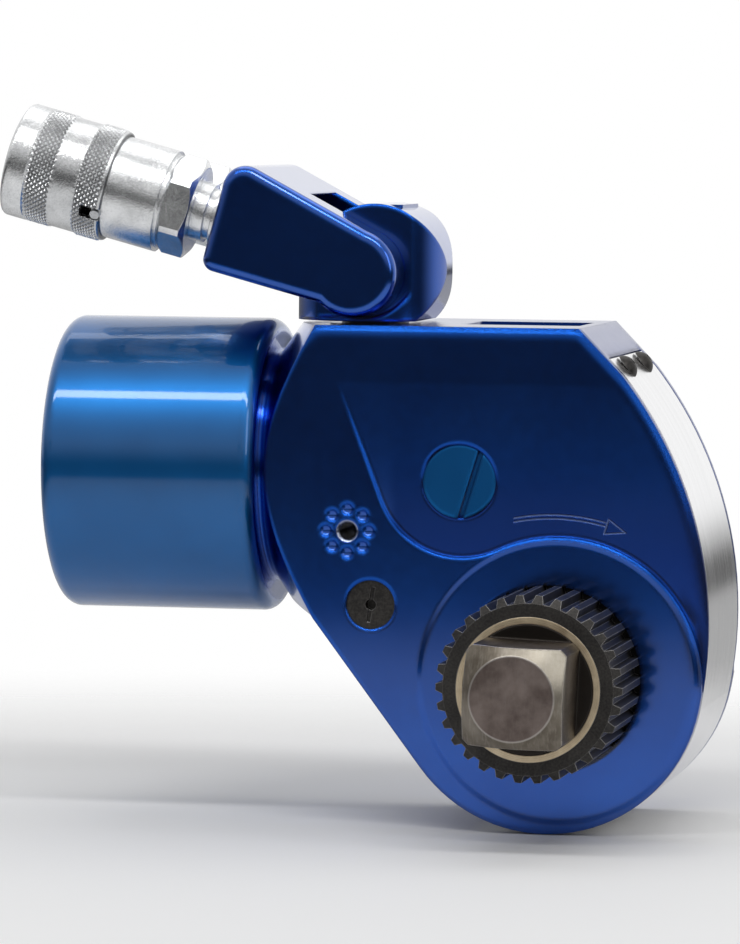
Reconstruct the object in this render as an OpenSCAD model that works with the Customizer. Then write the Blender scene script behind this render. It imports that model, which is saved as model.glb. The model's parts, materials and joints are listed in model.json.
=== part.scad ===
// Hydraulic torque wrench with a square drive, a reaction spline and a tilting hose swivel.
// Origin: centre of the square drive at the plane where a socket seats.
// The drive points along -Y, the hydraulic cylinder lies along X, and +Z is up.

/* [Square drive] */
// Size of the drive square across its flats
square_af = 25.4; // [22:0.1:28]
// Length of the square beyond the socket seat
square_len = 25; // [20:0.5:32]
// Radius to which the corners of the square are turned
square_corner_r = 16.9; // [15.5:0.1:17.5]
// Radius of the flat end of the square
square_end_r = 10.8; // [8:0.1:12]
// Length of the turned cone at the end of the square
square_cone_len = 5; // [3:0.5:7]
// Angle of the square at rest
square_turn = 2.5; // [0:0.5:20]
// Radius of the round journal behind the square
journal_r = 16.75; // [15.5:0.05:17]

/* [Reaction spline] */
// Tip radius of the reaction spline
spline_tip_r = 24.05; // [22.5:0.05:26]
// Depth of the spline teeth
spline_depth = 2; // [1:0.1:2.4]
// Length of the bevel on the front of the spline teeth
spline_bevel = 1.5; // [0.8:0.1:2]
// Number of spline teeth
spline_teeth = 30; // [20:1:40]
// Length of the spline in front of the housing
spline_len = 31.9; // [26:0.1:40]
// Wall of the bronze bush inside the spline
front_bush_wall = 1.7; // [1.2:0.1:2.2]
// Length of the bronze bush inside the spline
front_bush_len = 16; // [8:0.5:24]

/* [Housing] */
// Width of the housing over its side faces
body_w = 63.8; // [61:0.1:70]
// Width of the inner chamber
chamber_w = 41.2; // [40.4:0.1:43]
// Radius of the nose around the drive
nose_r = 40.8; // [40:0.1:44]
// How far the nose's centre lies to the left of the drive axis
nose_shift = 0.8; // [0:0.1:1.5]
// Radius of the curved front
front_r = 106; // [100:1:120]
// Height of the centre of the curved front
front_cz = 13; // [8:0.5:16]
// Height of the top face above the drive axis
top_z = 90.5; // [88:0.5:98]
// How far the chamfer's upper corner is drawn in from the curved front
top_corner_cut = 0.5; // [0.3:0.1:1]
// Slope of the front chamfer
chamfer_angle = 46; // [40:1:52]
// Direction of the outside of the lower flank
flank_angle = 217; // [214:1:220]
// Wall of the lower flank
flank_wall = 7; // [5:0.5:7.2]
// Height of the roof of the inner chamber
roof_z = 73.5; // [70:0.5:75]
// Where the inner chamber begins, beside the cylinder
chamber_x = -60; // [-62:0.5:-59]
// Slope of the recessed side panel
panel_slope = 2.1; // [1:0.1:2.6]
// Radius of the raised boss around the drive
boss_r = 37.6; // [34:0.1:38]
// Height of the boss above the near side face
boss_rise = 0.4; // [0.2:0.1:0.6]
// Depth of the pocket in the top face
top_pocket_depth = 1.4; // [0.5:0.1:3]
// Length of the pocket in the top face
top_pocket_len = 30; // [10:1:36]
// Width of the pocket in the top face
top_pocket_w = 24; // [10:1:40]

/* [Cylinder] */
// Height of the cylinder above the drive axis
cyl_z = 52.2; // [51:0.1:53]
// Outer radius of the cylinder
cyl_r = 38.85; // [37:0.05:40]
// Left end of the cylinder
cyl_left = -134.5; // [-142:0.5:-134]
// Right rim of the cylinder
cyl_right = -77.6; // [-79:0.1:-77]
// Radius of the rounded cylinder edges
cyl_round = 3.6; // [2:0.1:5]
// Radius of the neck between cylinder and housing
neck_r = 30.3; // [29:0.1:31.5]
// Bore radius of the cylinder
bore_r = 30; // [26:0.5:31]
// Right end of the cylinder bore
bore_end_x = -80; // [-82:0.5:-79]
// Thickness of the end cap
cap_t = 9.5; // [8:0.5:10]
// Thickness of the piston
piston_t = 17; // [12:0.5:17]
// Travel of the piston
stroke = 23.5; // [18:0.5:24]
// Radius of the piston rod
rod_r = 11; // [9:0.5:11.5]

/* [Ratchet and pawls] */
// Number of ratchet teeth
ratchet_teeth = 15; // [15:1:15]
// Tip radius of the ratchet
ratchet_r = 33; // [32:0.1:33.2]
// Height of the ratchet teeth
ratchet_h = 4.5; // [3.5:0.1:4.5]
// Width of the ratchet teeth
ratchet_w = 27.8; // [24:0.1:27.8]
// Radius of the ratchet hubs
hub_r = 20; // [19.5:0.1:20.5]
// Wall of the hub bushes
hub_bush_wall = 3; // [2:0.1:3.5]
// Thickness of each drive plate
plate_t = 6; // [4:0.1:6]
// Distance of the rod pin from the drive axis
crank_r = 55.9; // [54:0.1:57]
// Direction of the rod pin at rest
crank_angle = 115.4; // [114:0.2:116]
// Radius of the rod pin
rod_pin_r = 6.5; // [5:0.1:7]
// Direction of the drive pawl at rest
drive_pawl_angle = 82; // [80:0.5:83]
// Distance of the reaction pawl pivot to the left of the drive axis
pawl_pin_x = -47; // [-49:0.1:-46]
// Height of the reaction pawl pivot
pawl_pin_z = 17.9; // [17:0.1:20]
// Radius of the reaction pawl pin
pawl_pin_r = 5; // [4:0.1:5.5]

/* [Side fittings] */
// Radius of the slotted access plug over the rod pin
plug_r = 9.6; // [8:0.1:11]
// Thickness of the access plug
plug_t = 5; // [3:0.1:7]
// Left position of the handle hole
handle_x = -53.3; // [-55:0.1:-52]
// Height of the handle hole
handle_z = 37; // [36:0.1:40]
// Radius of the tapped handle hole
handle_r = 2.1; // [1.6:0.1:2.5]
// Depth of the handle hole
handle_depth = 9; // [6:0.5:10]
// Radius of the circle of dimples around the handle hole
dimple_circle_r = 5.65; // [5:0.05:7]
// Radius of each dimple at the surface
dimple_r = 1.75; // [1:0.05:1.85]
// Number of dimples
dimples = 8; // [6:1:10]

/* [Shroud] */
// Thickness of the front shroud
shroud_t = 2.4; // [1.5:0.1:3]
// Width of the housing lip beside the shroud
lip_w = 4; // [3.4:0.1:5]
// Gap between shroud and lip
shroud_gap = 0.35; // [0.2:0.05:0.6]
// Height at which the shroud ends under the chamfer
shroud_top_z = 83; // [81:0.5:84]
// Direction in which the shroud ends under the nose
shroud_end_angle = 240; // [235:1:244]
// Radius of the shroud screw heads
screw_head_r = 3.4; // [2.8:0.1:3.8]
// Distance of the shroud screws from the middle
screw_y = 14; // [8:0.5:16]

/* [Swivel] */
// Left position of the swivel's upright axis
pivot_x = -52.5; // [-54:0.5:-51]
// Height of the tilting axis
pivot_z = 106.2; // [105:0.1:108]
// Radius of the turret
turret_r = 20.3; // [18.5:0.1:21]
// Radius of the turret's round top
turret_disc_r = 17.3; // [16.5:0.1:17.8]
// Half width of the turret's tongue
tongue_half = 16; // [13:0.5:17]
// Radius of the turret's spigot
spigot_r = 9; // [8:0.5:10]
// Length of the turret's spigot
spigot_len = 14; // [10:0.5:15]
// Rise of the hose arm at rest
arm_tilt = 15.2; // [10:0.1:20]
// Half width of the hose arm
arm_half_w = 30; // [29:0.5:32]
// Length of the hose arm from its pivot
arm_len = 39.5; // [37:0.5:46]
// Radius of the arm's round end
arm_end_r = 11.6; // [11:0.1:12]
// How far the arm's round end lies below the pivot
arm_end_drop = 2.4; // [1.5:0.1:2.6]
// Underside of the arm below its pivot
arm_under = 12.2; // [11:0.1:12.4]
// Top corner of the arm above its pivot
arm_over = 17; // [15:0.1:18]
// Radius of the arm's soft edges
arm_soft = 2.6; // [1.5:0.1:3]
// Radius of the tilting pin
swivel_pin_r = 6; // [4:0.1:7]

/* [Couplers] */
// Distance of each coupler from the middle
coupler_y = 15; // [15:0.5:16]
// Height of the couplers over the pivot, square to the arm
coupler_v = 1.2; // [0:0.1:3]
// Radius of the threaded nipples
nipple_r = 6.85; // [6:0.05:7.5]
// Length of nipple between the arm and the coupler
nipple_len = 7.3; // [6:0.1:12]
// Length of the coupler hexagons
hex_len = 7.5; // [6:0.1:10]
// Size of the female coupler's hexagon
female_hex = 24; // [22:0.5:25]
// Radius of the female coupler's body
female_r = 13.7; // [12.8:0.1:13.8]
// Length of the female coupler's body behind its sleeve
female_len = 15.2; // [12:0.1:18]
// Radius of the locking sleeve
sleeve_r = 14.8; // [14.6:0.05:15.2]
// Length of the locking sleeve
sleeve_len = 27.8; // [27:0.1:30]
// Travel of the locking sleeve
sleeve_travel = 2.8; // [2:0.1:3]
// Radius of the coupler's socket
socket_r = 8.6; // [8:0.05:8.8]
// Depth of the coupler's socket
socket_len = 16; // [14:0.5:17]
// Travel of the coupler valves
poppet_travel = 4; // [2:0.5:4]
// Size of the male coupler's hexagon
male_hex = 20; // [18:0.5:21]
// Radius of the male coupler's collar beside the arm
male_collar_r = 10.6; // [9:0.1:11.4]
// Radius of the male coupler's nose
male_r = 8.5; // [8:0.05:8.6]
// Length of the male coupler's nose
male_len = 20; // [18:0.5:24]

/* [Clearances] */
// Radial clearance of running fits
run = 0.05; // [0.02:0.01:0.1]
// Gap between pieces that pass each other
gap = 0.35; // [0.3:0.05:0.4]

/* [Hidden] */
$fn = 64;

// Colours
blue = [0.05, 0.13, 0.42];
steel = [0.62, 0.63, 0.65];
dark_steel = [0.33, 0.30, 0.28];
black_oxide = [0.10, 0.10, 0.11];
bronze = [0.66, 0.52, 0.30];
zinc = [0.78, 0.79, 0.80];
seal_black = [0.06, 0.06, 0.06];

// Planes across the width, measured from the middle of the housing
face_y = body_w / 2;
mid_y = face_y + spline_len;
seat_y = -mid_y;
chamber_y = chamber_w / 2;
ratchet_y = ratchet_w / 2;
plate_in_y = ratchet_y + gap;
plate_out_y = plate_in_y + plate_t;

// Side outline
nose_c = [-nose_shift, 0.2];
front_cx = nose_c[0] - sqrt(pow(front_r - nose_r, 2) - pow(front_cz - nose_c[1], 2));
front_dir = (nose_c - [front_cx, front_cz]) / (front_r - nose_r);
top_corner_x = front_cx + sqrt(front_r * front_r - pow(top_z - front_cz, 2)) - top_corner_cut;
outline_back_x = cyl_right - 3;
flank_n = [cos(flank_angle), sin(flank_angle)];
flank_d = [flank_n[1], -flank_n[0]];
flank_top_x = -63;
neck_low_z = 20.5;
chamfer_run = 60;
far = 200;

// Neck flare
flare_angle = 53.5;
flare_round = 1.2;
flare_x = cyl_right + 0.9;
flare_t = flare_round * tan(flare_angle / 2);
flare_steps = 6;

// Side panel with its two tangent arcs
panel_z = 76;
boss_cx = 2.4;
boss_cz = -1.1;
boss_ledge = 0.7;
cove_cx = -23.5;
cove_cz = 53;
cove_r = norm([cove_cx - boss_cx, cove_cz - boss_cz]) - boss_r;
panel_lean = 20.8;
panel_depth_max = 6;

// Drive train
rod_pin_x = crank_r * cos(crank_angle);
rod_pin_z = crank_r * sin(crank_angle);
turn = stroke / crank_r * 180 / PI;
rod_thread_r = 7;
gland_wall = 4;
eye_wall = 4.6;
eye_half_x = rod_pin_r + gap + eye_wall;
eye_bottom = min(rod_pin_z, crank_r * sin(crank_angle - turn)) - rod_pin_r - gap;
eye_top = crank_r + rod_pin_r + gap;
eye_half_y = plate_in_y - 2;
piston_x = cyl_left + cap_t + 1;
ratchet_pitch = 360 / ratchet_teeth;
tooth_face = drive_pawl_angle - 8;
tooth_slack = 0.6;
bridge_r = ratchet_r + ratchet_h + 8;
bridge_t = 4.6;
pawl_w = 14;
pawl_top_r = bridge_r - ratchet_h - 0.8;
lug_w = 8;
lug_low_r = ratchet_r + 0.6;
lug_len = 5;
drive_spline_teeth = 24;
drive_spline_depth = 1.2;
hub_end_y = face_y - 0.7;
face_lip = 3;
hub_near_y = face_y - face_lip - 1.5;
ring_seat_r = hub_r + run + hub_bush_wall + 4;
bush_seat_r = hub_r + run + hub_bush_wall;
front_bush_r = journal_r + run + front_bush_wall;
reaction_face = tooth_face + 2 * ratchet_pitch;
pawl_tip_r = ratchet_r - ratchet_h + 2;
pawl_eye_r = pawl_pin_r + 1.8;
pawl_horn_r = 3.5;
pawl_spring_z = pawl_pin_z + 9.1;

pawl_spring_y = 7;
pawl_spring_r = 2.6;
pin_head_t = 3;
pin_head_r = 6.4;

// Plug and shroud screws
plug_sink = 0.4;
plug_turn = 17;
plug_slot_x = 3.1;
plug_slot_w = 1.5;
plug_depth = (panel_z - rod_pin_z) * tan(panel_slope);
screw_r = 2;
screw_z = shroud_top_z - 0.8 * screw_head_r;
screw_x = front_cx + sqrt(front_r * front_r - pow(screw_z - front_cz, 2));
screw_dir = atan2(screw_z - front_cz, screw_x - front_cx);
screw_dome_h = 2.2;
screw_dome_r = (screw_head_r * screw_head_r + screw_dome_h * screw_dome_h) / (2 * screw_dome_h);
screw_dome_c = screw_dome_h - screw_dome_r;

// Retainer on the far side
retainer_r = 19;
retainer_t = 4.6;
retainer_bolt_r = 7;
button_r = 5;
button_stand = 2.6;
button_travel = 2.2;

// Swivel
turret_foot_z = top_z + 0.6;
recess_r = arm_end_r + arm_end_drop + 0.45;
turret_base_top = pivot_z - recess_r + 0.3;
lug_x = 9.2;
lug_top = 15.4;
arm_corner_top = 6;
arm_corner_low = 3.2;
slot_r = turret_r + 2.8;

// Coupler stations along the arm's own axis
hex_u = arm_len + nipple_len;
body_u = hex_u + hex_len;
sleeve_u = body_u + female_len;
front_u = sleeve_u + sleeve_len;
nipple_sink = 6;
nose_wall = 3;
socket_nose_r = socket_r + nose_wall;
shoulder_u = sleeve_u + 2.5;
land_u = front_u - 11.5;
land_len = 7;
ball_r = 1.45;
ball_u = land_u + 5;
ball_count = 8;
socket_end_u = front_u - socket_len;
chamber_r = 6;
chamber_u = socket_end_u - 20;
poppet_len = 9.5;
oil_r = 2.5;
lock_pin_r = 1.3;
lock_pin_u = sleeve_u + 1.2;
knurl_rise = 0.4;
knurl_len = 6.8;
rear_knurl = 0.9;
front_knurl = 14.5;
lock_pin_angle = 32;
lock_turn = 270 - lock_pin_angle;
notch_len = lock_pin_u - sleeve_u + lock_pin_r + gap + sleeve_travel;
male_body_r = 9.5;
male_step = 8;
male_front_u = body_u + male_step + male_len;
male_bore_r = 5;

// Puts the socket seat at the origin
module place() {
    translate([0, mid_y, 0]) children();
}

// Turns a side view drawn as (x, z) into a solid of the given width, centred on the middle
module across(w) {
    rotate([90, 0, 0]) linear_extrude(height = w, center = true) children();
}

// Round bar along Y from y0 to y1
module bar_y(y0, y1, r) {
    translate([0, y1, 0]) rotate([90, 0, 0]) cylinder(h = y1 - y0, r = r);
}

// Ring along Y from y0 to y1
module ring_y(y0, y1, outer, inner) {
    difference() {
        bar_y(y0, y1, outer);
        bar_y(y0 - 1, y1 + 1, inner);
    }
}

// Solid of revolution about the cylinder's axis, drawn as (radius, x)
module about_x() {
    translate([0, 0, cyl_z]) rotate([0, 90, 0]) rotate_extrude() children();
}

// Solid of revolution about a line along Y, drawn as (radius, y)
module about_y() {
    rotate([-90, 0, 0]) rotate_extrude() children();
}

// Puts children at the swivel's tilting axis, turned to the arm's rise
module on_arm() {
    translate([pivot_x, 0, pivot_z]) rotate([0, arm_tilt, 0]) children();
}

// Solid of revolution along a coupler's axis, drawn as (radius, u)
module along_u(y) {
    translate([0, y, coupler_v]) rotate([0, -90, 0]) rotate_extrude() children();
}

// Places children on a coupler's axis with their +Z along it
module at_u(y, u) {
    translate([-u, y, coupler_v]) rotate([0, -90, 0]) children();
}

// Rectangle of a revolved profile, between two radii and two stations
module step(r0, r1, a, b) {
    translate([r0, a]) square([r1 - r0, b - a]);
}

// Half section of a bar whose ends are rounded by f
module soft_section(r, a, b, f) {
    step(0, r - f, a, b);
    step(0, r, a + f, b - f);
    intersection() {
        union() {
            translate([r - f, a + f]) circle(r = f);
            translate([r - f, b - f]) circle(r = f);
        }
        step(0, r, a, b);
    }
}

// Ring of trapezoid teeth, drawn about the origin
module spline_outline(teeth, tip, root) {
    pitch = 360 / teeth;
    polygon([for (i = [0 : teeth - 1]) for (k = [[-0.33, root], [-0.17, tip], [0.17, tip], [0.33, root]])
        k[1] * [cos((i + k[0]) * pitch), sin((i + k[0]) * pitch)]]);
}

// Saw-tooth ratchet outline: each tooth rises anticlockwise and drops at its steep face
module ratchet_outline(extra, shift) {
    polygon([for (i = [0 : ratchet_teeth - 1]) for (k = [0 : 4])
        let (a = tooth_face + shift + (i + k / 4) * ratchet_pitch - (k == 4 ? 0.01 : 0),
             r = ratchet_r - ratchet_h + extra + ratchet_h * k / 4)
        r * [cos(a), sin(a)]]);
}

// Two circles joined by their outer tangents, each circle as [x, z, radius]
module strap(a, b) {
    d = norm([b[0] - a[0], b[1] - a[1]]);
    dir = atan2(b[1] - a[1], b[0] - a[0]);
    lean = acos((a[2] - b[2]) / d);
    n1 = [cos(dir + lean), sin(dir + lean)];
    n2 = [cos(dir - lean), sin(dir - lean)];
    ca = [a[0], a[1]];
    cb = [b[0], b[1]];
    translate(ca) circle(r = a[2]);
    translate(cb) circle(r = b[2]);
    polygon([ca + a[2] * n1, ca + a[2] * n2, cb + b[2] * n2, cb + b[2] * n1]);
}

// Disc along Y with soft edges, its place and radius as [x, z, radius]
module soft_disc(c, half_w, f) {
    translate([c[0], 0, c[1]]) about_y() soft_section(c[2], -half_w, half_w, f);
}

// Coil spring along +Z with open ends, swept as one closed tube
module coil(len, r, wire, turns) {
    sides = 6;
    steps = ceil(turns * max(10, 2 * r));
    rise = len - 2 * wire;
    points = [for (i = [0 : steps]) for (k = [0 : sides - 1])
        let (a = 360 * turns * i / steps,
             b = 360 * k / sides,
             rr = r + wire * cos(b))
        [rr * cos(a), rr * sin(a), wire + rise * i / steps + wire * sin(b)]];
    tube = [for (i = [0 : steps - 1]) for (k = [0 : sides - 1])
        let (p = i * sides + k, q = i * sides + (k + 1) % sides)
        [p, p + sides, q + sides, q]];
    ends = [[for (k = [0 : sides - 1]) k],
            [for (k = [sides - 1 : -1 : 0]) steps * sides + k]];
    polyhedron(points, concat(tube, ends));
}

// Side view of the housing, its front and nose drawn in by inset
module side_outline(inset) {
    t = nose_c + (nose_r + 0.02) * flank_n;
    up = (flank_top_x - t[0]) / flank_d[0];
    translate(nose_c) circle(r = nose_r - inset);
    intersection() {
        translate([front_cx, front_cz]) circle(r = front_r - inset);
        polygon([
            [outline_back_x, top_z],
            [top_corner_x, top_z],
            [top_corner_x + chamfer_run, top_z - chamfer_run * tan(chamfer_angle)],
            nose_c + far * front_dir,
            nose_c,
            t,
            t + up * flank_d,
            [outline_back_x, neck_low_z]
        ]);
    }
}

// Sector of the side view that the shroud covers, its two ends drawn in by trim
module shroud_sector(trim) {
    a = shroud_end_angle - 360;
    ends = trim * [-sin(a), cos(a)];
    polygon([
        ends,
        ends + far * [cos(a), sin(a)],
        [far, -far],
        [far, shroud_top_z - trim],
        [0, shroud_top_z - trim]
    ]);
}

// Side view of the chamber that holds the ratchet, pawls and drive plates
module chamber_outline() {
    d = nose_c + (nose_r - flank_wall) * flank_n;
    up = (chamber_x - d[0]) / flank_d[0];
    polygon([
        [chamber_x, roof_z],
        [far, roof_z],
        [far, -far],
        d - far * flank_d,
        d + up * flank_d
    ]);
}

// Ring that is cut away around the neck and along its flare, drawn as (radius, x)
module neck_cutter_section() {
    centre = [neck_r + flare_round, flare_x - flare_t];
    reach = 60;
    bend = [for (i = [0 : flare_steps])
        let (a = flare_angle * i / flare_steps)
        centre + flare_round * [-cos(a), sin(a)]];
    last = bend[flare_steps];
    polygon(concat(
        [[neck_r, cyl_right - 6]],
        bend,
        [[reach, last[1] + (reach - last[0]) / tan(flare_angle)], [reach, cyl_right - 6]]
    ));
}

// Recessed panel of one side, as a leaning cutter with an S-shaped lower edge
module panel_cutter() {
    lean = [-cos(panel_lean), -sin(panel_lean)];
    t = [cove_cx, cove_cz] + cove_r * lean;
    rise = 80 * [-sin(panel_lean), cos(panel_lean)];
    translate([0, -face_y, panel_z]) rotate([panel_slope, 0, 0]) translate([0, 0, -panel_z])
        rotate([90, 0, 0]) linear_extrude(height = panel_depth_max) difference() {
            union() {
                translate([cove_cx, cove_cz]) circle(r = cove_r);
                polygon([t, t + rise, [far, panel_z + 40], [far, -14], [0, 0], [cove_cx, cove_cz]]);
            }
            translate([boss_cx, boss_cz]) circle(r = boss_r);
        }
}

// Tapped hole for a handle with its ring of dimples, cut from one side
module handle_cutter() {
    ball = dimple_r * 1.12;
    sink = sqrt(ball * ball - dimple_r * dimple_r);
    translate([handle_x, -face_y, handle_z]) {
        bar_y(-1, handle_depth, handle_r);
        about_y() polygon([[0, -0.1], [handle_r + 0.9, -0.1], [handle_r, 0.8], [0, 0.8]]);
        for (i = [0 : dimples - 1])
            rotate([0, i * 360 / dimples, 0]) translate([dimple_circle_r, -sink, 0])
                sphere(r = ball, $fn = 32);
    }
}

// Both sides of the housing, drawn for the near one
module both_sides() {
    children();
    mirror([0, 1, 0]) children();
}

// Puts children on each shroud screw with +Z pointing out of the shroud
module at_screws() {
    for (y = [-screw_y, screw_y])
        translate([screw_x, y, screw_z]) rotate([0, 90 - screw_dir, 0]) children();
}

module housing() {
    color(blue) place() difference() {
        union() {
            difference() {
                across(body_w) side_outline(0);
                about_x() neck_cutter_section();
            }
            about_x() soft_section(cyl_r, cyl_left, cyl_right, cyl_round);
            translate([boss_cx, -face_y, boss_cz]) about_y() polygon([
                [0, 1],
                [boss_r - boss_ledge, 1],
                [boss_r - boss_ledge, 0],
                [boss_r - boss_ledge - 3 * boss_rise, -boss_rise],
                [0, -boss_rise]
            ]);
        }
        across(chamber_w) chamber_outline();
        across(body_w - 2 * lip_w) difference() {
            intersection() {
                offset_outline();
                shroud_sector(0);
            }
            side_outline(shroud_t);
        }
        both_sides() panel_cutter();
        both_sides() handle_cutter();
        about_x() {
            step(0, bore_r, cyl_left + cap_t, bore_end_x);
            step(0, bore_r + 1.5, cyl_left - 1, cyl_left + cap_t);
            step(0, rod_r + run + gland_wall, bore_end_x - 1, chamber_x + 1);
        }
        bar_y(-face_y - 1, 0, spline_tip_r + run);
        bar_y(-face_y + face_lip, 0, ring_seat_r);
        bar_y(0, face_y + 1, bush_seat_r);
        translate([rod_pin_x, 0, rod_pin_z]) {
            bar_y(-face_y - 1, -face_y + plug_sink + plug_t, plug_r);
            bar_y(-face_y, 0, plug_r - 1.6);
        }
        translate([pawl_pin_x, 0, pawl_pin_z]) {
            bar_y(-face_y - 1, face_y - 4, pawl_pin_r);
            bar_y(-face_y - 1, -face_y + pin_head_t, pin_head_r);
        }
        translate([pivot_x, 0, top_z - spigot_len - 0.4]) cylinder(h = far, r = spigot_r + run);
        translate([top_corner_x - 3 - top_pocket_len, -top_pocket_w / 2, top_z - top_pocket_depth])
            cube([top_pocket_len, top_pocket_w, far]);
        at_screws() translate([0, 0, -9]) cylinder(h = 20, r = screw_r);
    }
}

// Housing outline with room in front of it, for the shroud's rebate
module offset_outline() {
    translate([front_cx, front_cz]) circle(r = front_r + 1);
}

module cylinder_cap() {
    color(blue) place() difference() {
        about_x() {
            step(0, bore_r + 1.5, cyl_left + 0.6, cyl_left + cap_t);
        }
        for (a = [0 : 90 : 270])
            translate([cyl_left, 0, cyl_z]) rotate([a, 0, 0]) translate([0, 0, bore_r * 0.6])
                rotate([0, 90, 0]) cylinder(h = 5, r = 2.5);
    }
}

module rod_gland() {
    color(bronze) place() about_x()
        step(rod_r + run, rod_r + run + gland_wall, bore_end_x, chamber_x);
}

module piston() {
    color(steel) place() about_x() difference() {
        step(0, bore_r - run, piston_x, piston_x + piston_t);
        step(bore_r - 4, bore_r, piston_x + piston_t / 2 - 2.5, piston_x + piston_t / 2 + 2.5);
        step(0, rod_thread_r, piston_x + 4, piston_x + piston_t);
    }
}

module piston_seal() {
    color(seal_black) place() about_x()
        step(bore_r - 4, bore_r - run, piston_x + piston_t / 2 - 2.4, piston_x + piston_t / 2 + 2.4);
}

module piston_rod() {
    color(steel) place() difference() {
        union() {
            about_x() {
                step(0, rod_thread_r, piston_x + 4, piston_x + piston_t + 1);
                step(0, rod_r, piston_x + piston_t, rod_pin_x);
            }
            translate([rod_pin_x - eye_half_x, -eye_half_y, eye_bottom - eye_wall])
                cube([2 * eye_half_x, 2 * eye_half_y, eye_top - eye_bottom + 2 * eye_wall]);
        }
        translate([rod_pin_x - rod_pin_r - gap, -eye_half_y - 1, eye_bottom])
            cube([2 * (rod_pin_r + gap), 2 * eye_half_y + 2, eye_top - eye_bottom]);
    }
}

module rod_pin() {
    color(steel) place() translate([rod_pin_x, 0, rod_pin_z])
        bar_y(-plate_out_y, plate_out_y, rod_pin_r);
}

// Frame of the drive pawl: X along its line of lift, away from the drive axis
module on_pawl_line() {
    rotate([0, -drive_pawl_angle, 0]) children();
}

module drive_plates() {
    color(dark_steel) place() for (s = [-1, 1]) translate([0, s * (plate_in_y + plate_t / 2), 0])
        difference() {
            across(plate_t) {
                strap([0, 0, 29], [rod_pin_x, rod_pin_z, rod_pin_r + 4.5]);
                strap([0, 0, 29], (bridge_r - 3.5) * [cos(drive_pawl_angle), sin(drive_pawl_angle), 0]
                    + [0, 0, 9.5]);
            }
            bar_y(-plate_t, plate_t, hub_r + run);
            translate([rod_pin_x, 0, rod_pin_z]) bar_y(-plate_t, plate_t, rod_pin_r);
            on_pawl_line() translate([lug_low_r - gap, -plate_t, -lug_w / 2 - run])
                cube([lug_len + ratchet_h + 3 * gap, 2 * plate_t, lug_w + 2 * run]);
        }
}

module pawl_bridge() {
    color(dark_steel) place() on_pawl_line()
        translate([bridge_r, -plate_in_y, -pawl_w / 2]) cube([bridge_t, 2 * plate_in_y, pawl_w]);
}

module drive_pawl() {
    color(steel) place() difference() {
        union() {
            on_pawl_line() translate([ratchet_r - ratchet_h, -ratchet_y, -pawl_w / 2])
                cube([pawl_top_r - ratchet_r + ratchet_h, ratchet_w, pawl_w]);
            on_pawl_line() translate([lug_low_r, -plate_out_y + gap, -lug_w / 2])
                cube([lug_len, 2 * (plate_out_y - gap), lug_w]);
        }
        across(ratchet_w + 2) ratchet_outline(gap, tooth_slack);
        for (y = [-pawl_spring_y, pawl_spring_y])
            on_pawl_line() translate([pawl_top_r - 6, y, 0]) rotate([0, 90, 0])
                cylinder(h = 20, r = pawl_spring_r + 1.2);
    }
}

module drive_pawl_springs() {
    color(steel) place() for (y = [-pawl_spring_y, pawl_spring_y])
        on_pawl_line() translate([bridge_r, y, 0]) rotate([0, -90, 0])
            coil(5.2, pawl_spring_r, 0.6, 3);
}

module ratchet() {
    color(dark_steel) place() difference() {
        union() {
            across(ratchet_w) ratchet_outline(0, 0);
            bar_y(-hub_near_y, hub_end_y, hub_r);
        }
        across(body_w + 2)
            spline_outline(drive_spline_teeth, journal_r - 0.1, journal_r - 0.1 - drive_spline_depth);
    }
}

module square_drive() {
    spline_r = journal_r - 0.1 - run;
    color(dark_steel) place() difference() {
        union() {
            intersection() {
                translate([0, seat_y, 0]) about_y() polygon([
                    [0, 0.5],
                    [journal_r - 0.5, 0.5],
                    [journal_r - 0.5, 0],
                    [square_corner_r, 0],
                    [square_corner_r, square_cone_len - square_len],
                    [square_end_r, -square_len],
                    [0, -square_len]
                ]);
                rotate([0, square_turn, 0])
                    translate([-square_af / 2, seat_y - square_len - 1, -square_af / 2])
                        cube([square_af, square_len + 2, square_af]);
            }
            bar_y(seat_y, -hub_near_y, journal_r);
            across(2 * hub_end_y)
                spline_outline(drive_spline_teeth, spline_r, spline_r - drive_spline_depth);
        }
        bar_y(hub_end_y - 14, hub_end_y + 1, retainer_bolt_r);
    }
}

module spline_ring() {
    root = spline_tip_r - spline_depth;
    color(black_oxide) place() difference() {
        union() {
            intersection() {
                translate([0, seat_y + (spline_len + face_lip) / 2, 0])
                    across(spline_len + face_lip + 1) spline_outline(spline_teeth, spline_tip_r, root);
                translate([0, seat_y, 0]) about_y() polygon([
                    [0, 0],
                    [root - 0.1, 0],
                    [spline_tip_r + 0.3, spline_bevel * (spline_depth + 0.4) / spline_depth],
                    [spline_tip_r + 0.3, spline_len + face_lip + 2],
                    [0, spline_len + face_lip + 2]
                ]);
            }
            bar_y(-face_y + face_lip, -chamber_y, ring_seat_r);
        }
        bar_y(-hub_near_y - gap, 0, bush_seat_r);
        bar_y(seat_y - 1, 0, front_bush_r);
    }
}

module front_bush() {
    color(bronze) place() ring_y(seat_y, seat_y + front_bush_len, front_bush_r, journal_r + run);
}

module hub_bushes() {
    color(bronze) place() {
        ring_y(-hub_near_y, -chamber_y, bush_seat_r, hub_r + run);
        ring_y(chamber_y, hub_end_y, bush_seat_r, hub_r + run);
    }
}

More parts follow.
